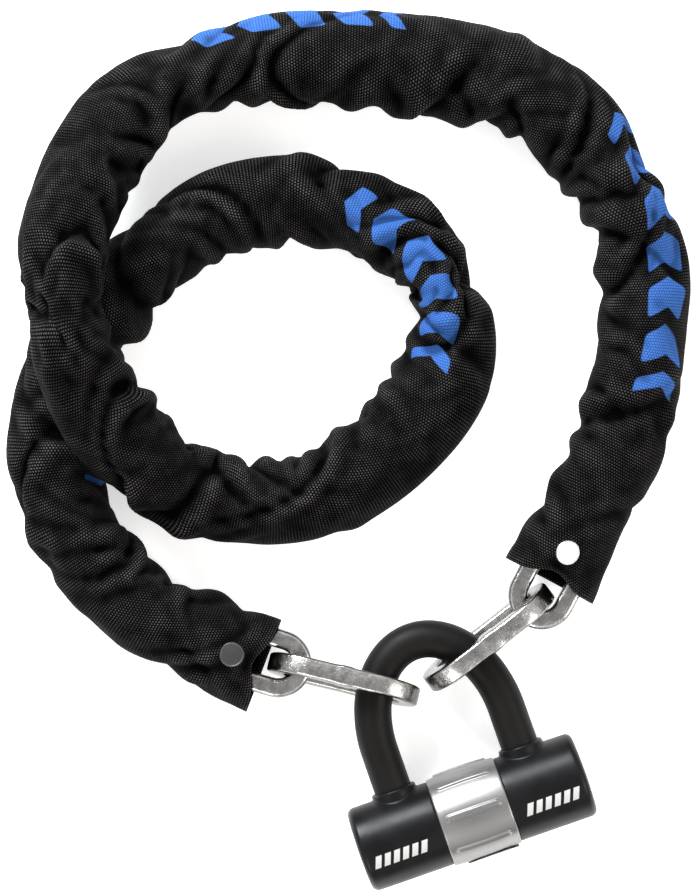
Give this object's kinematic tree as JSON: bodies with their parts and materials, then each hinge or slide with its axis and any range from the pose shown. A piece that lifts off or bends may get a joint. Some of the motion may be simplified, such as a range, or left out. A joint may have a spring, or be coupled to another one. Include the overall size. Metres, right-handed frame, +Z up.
{
  "type": "chain lock",
  "caption": "Square-link security chain in a black woven sleeve, lying in a loose coil, closed by a mini shackle lock through its two large end links.",
  "frame": {"origin": "on the surface that the chain lies on, under the centre of the object's box", "axes": "+Z up from the surface; +Y from the lock towards the far side of the coil, +X to the right of that"},
  "size_m": [0.3451, 0.4431, 0.089],
  "materials": {
    "zinc_steel": "bright zinc plate, lightly drawn",
    "sleeve_cloth": "woven nylon, matt with a dull sheen",
    "rivet_metal": "satin",
    "hard_steel": "ground",
    "shackle_coat": "satin soft coat",
    "black_plastic": "satin",
    "silver_band": "satin silver metallic",
    "seal_rubber": "matt",
    "zinc_casting": "as cast",
    "brass": "machined"
  },
  "bodies": {
    "chain_and_crossbar": {"chain_link_01": "zinc_steel", "chain_link_02": "zinc_steel", "chain_link_03": "zinc_steel", "chain_link_04": "zinc_steel", "chain_link_05": "zinc_steel", "chain_link_06": "zinc_steel", "chain_link_07": "zinc_steel", "chain_link_08": "zinc_steel", "chain_link_09": "zinc_steel", "chain_link_10": "zinc_steel", "chain_link_11": "zinc_steel", "chain_link_12": "zinc_steel", "chain_link_13": "zinc_steel", "chain_link_14": "zinc_steel", "chain_link_15": "zinc_steel", "chain_link_16": "zinc_steel", "chain_link_17": "zinc_steel", "chain_link_18": "zinc_steel", "chain_link_19": "zinc_steel", "chain_link_20": "zinc_steel", "chain_link_21": "zinc_steel", "chain_link_22": "zinc_steel", "chain_link_23": "zinc_steel", "chain_link_24": "zinc_steel", "chain_link_25": "zinc_steel", "chain_link_26": "zinc_steel", "chain_link_27": "zinc_steel", "chain_link_28": "zinc_steel", "chain_link_29": "zinc_steel", "chain_link_30": "zinc_steel", "chain_link_31": "zinc_steel", "chain_link_32": "zinc_steel", "chain_link_33": "zinc_steel", "chain_link_34": "zinc_steel", "chain_link_35": "zinc_steel", "sleeve": "sleeve_cloth", "sleeve_rivets": "rivet_metal", "crossbar_tube": "hard_steel", "end_plugs": "hard_steel", "right_cover": "black_plastic", "left_cover": "black_plastic", "leg_seals": "seal_rubber", "grip_band": "silver_band", "keyway_bezel": "black_plastic", "lock_chassis": "zinc_casting", "chassis_pins": "hard_steel", "cylinder_housing": "brass", "cylinder_clip": "hard_steel"},
    "shackle": {"shackle_core": "hard_steel", "shackle_coating": "shackle_coat"},
    "key_barrel": {"key_plug": "brass", "lock_discs": "brass", "disc_spacers": "hard_steel", "bolt_cam": "zinc_casting"},
    "sidebar": {"sidebar": "brass"},
    "left_bolt": {"bolt_left": "hard_steel"},
    "right_bolt": {"bolt_right": "hard_steel"},
    "dust_shutter": {"dust_shutter": "black_plastic"},
    "left_end_link": {"left_end_link": "zinc_steel"},
    "right_end_link": {"right_end_link": "zinc_steel"}
  },
  "joints": [
    {"name": "shackle_pull", "type": "slide", "parent": "chain_and_crossbar", "child": "shackle", "axis": [-0.3297, 0.9441, 0], "range_m": [0, 0.04]},
    {"name": "key_turn", "type": "hinge", "parent": "chain_and_crossbar", "child": "key_barrel", "pos_m": [0.06546, -0.19513, 0.02414], "axis": [-0.3297, 0.9441, 0], "range_deg": [0, 90]},
    {"name": "sidebar_lift", "type": "slide", "parent": "key_barrel", "child": "sidebar", "axis": [0, 0, -1], "range_m": [-0.0008, 0]},
    {"name": "left_bolt_throw", "type": "slide", "parent": "chain_and_crossbar", "child": "left_bolt", "axis": [-0.9441, -0.3297, 0], "range_m": [0, 0.005]},
    {"name": "right_bolt_throw", "type": "slide", "parent": "chain_and_crossbar", "child": "right_bolt", "axis": [0.9441, 0.3297, 0], "range_m": [0, 0.005]},
    {"name": "shutter_slide", "type": "slide", "parent": "chain_and_crossbar", "child": "dust_shutter", "axis": [0.9441, 0.3297, 0], "range_m": [0, 0.0096]},
    {"name": "left_end_link_swing", "type": "hinge", "parent": "chain_and_crossbar", "child": "left_end_link", "pos_m": [-0.035, -0.1095, 0.0215], "axis": [0, 0, 1], "range_deg": [-8, 3]},
    {"name": "right_end_link_swing", "type": "hinge", "parent": "chain_and_crossbar", "child": "right_end_link", "pos_m": [0.0968, -0.0749, 0.0215], "axis": [0, 0, 1], "range_deg": [-3.5, 12]}
  ],
  "couplings": [
    {"joint": "left_bolt_throw", "follows": "key_turn", "m_per_rad": 0.0031831},
    {"joint": "right_bolt_throw", "follows": "key_turn", "m_per_rad": 0.0031831}
  ]
}
